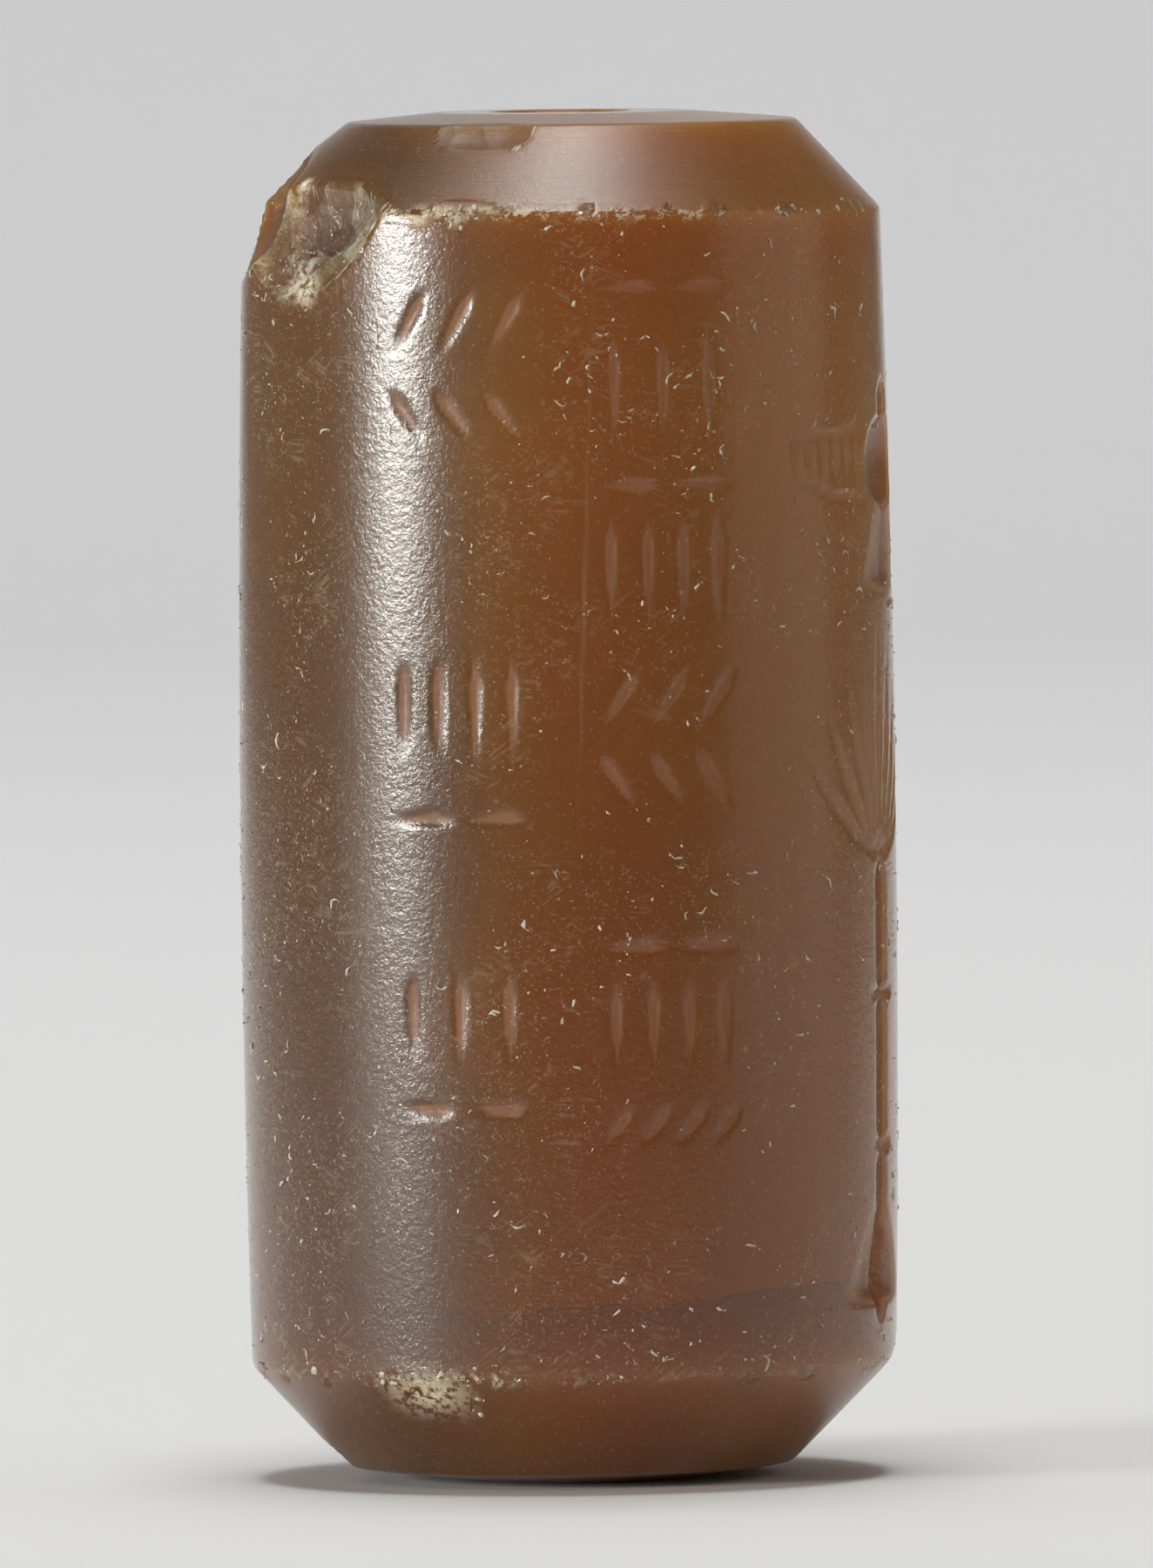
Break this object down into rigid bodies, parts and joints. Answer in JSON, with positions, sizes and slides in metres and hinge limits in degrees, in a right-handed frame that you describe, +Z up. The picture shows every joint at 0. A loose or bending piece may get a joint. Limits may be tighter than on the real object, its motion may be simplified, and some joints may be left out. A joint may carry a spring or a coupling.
{
  "type": "cylinder seal",
  "caption": "Ancient cylinder seal: a barrelled drum of brown chalcedony with bevelled ends and a lengthwise bore, its wall engraved to be rolled on clay.",
  "frame": {"origin": "middle of the flat end that the seal stands on", "axes": "+Z up along the bore, -Y towards the inscribed side, +X to the right of someone who looks at it"},
  "size_m": [0.0172, 0.0172, 0.036],
  "materials": {
    "chalcedony": "satin"
  },
  "bodies": {
    "root": {"cylinder_seal": "chalcedony"}
  },
  "joints": []
}
